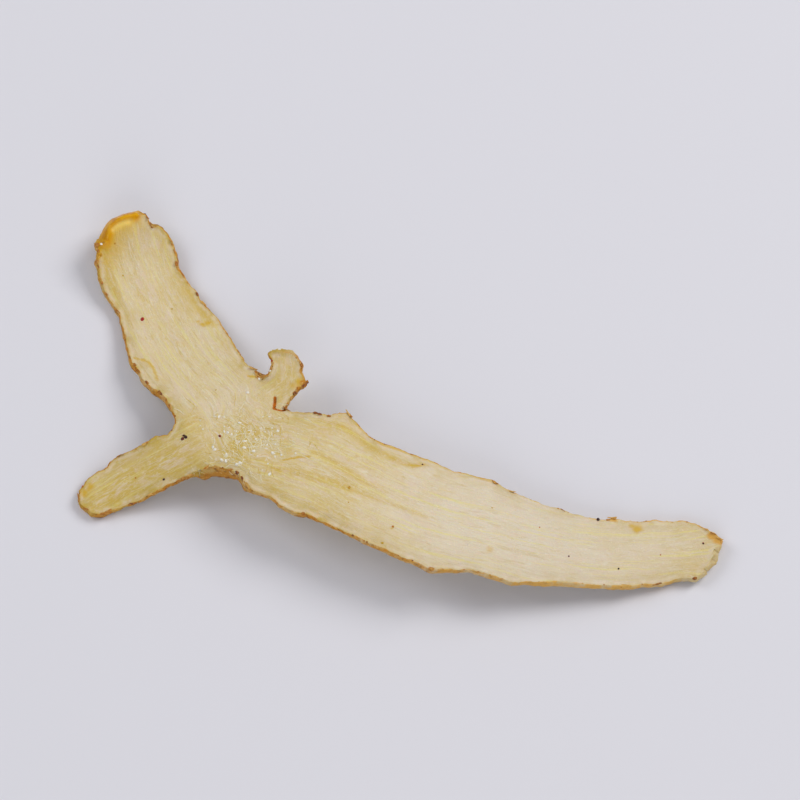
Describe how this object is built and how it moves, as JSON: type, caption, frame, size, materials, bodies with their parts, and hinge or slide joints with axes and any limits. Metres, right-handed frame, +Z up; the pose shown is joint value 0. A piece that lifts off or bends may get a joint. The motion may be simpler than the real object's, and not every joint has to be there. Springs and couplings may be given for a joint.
{
  "type": "dried solomons seal slice",
  "caption": "Forked slice of dried Solomon's seal rhizome, cut lengthwise and curled as it dried, so that it arches and rests on three low points.",
  "frame": {"origin": "middle of the slice's footprint, on the surface that it lies on", "axes": "+X along the slice's longest extent, towards the torn end of its long arm; +Y towards its amber tip's side; +Z up, through its thickness"},
  "size_m": [0.1058, 0.0664, 0.0102],
  "materials": {
    "dried_flesh": "matt cream dried flesh with lengthwise fibre, a thin brown bark rim and a glossy amber tip"
  },
  "bodies": {
    "root": {"rhizome_slice": "dried_flesh"}
  },
  "joints": []
}
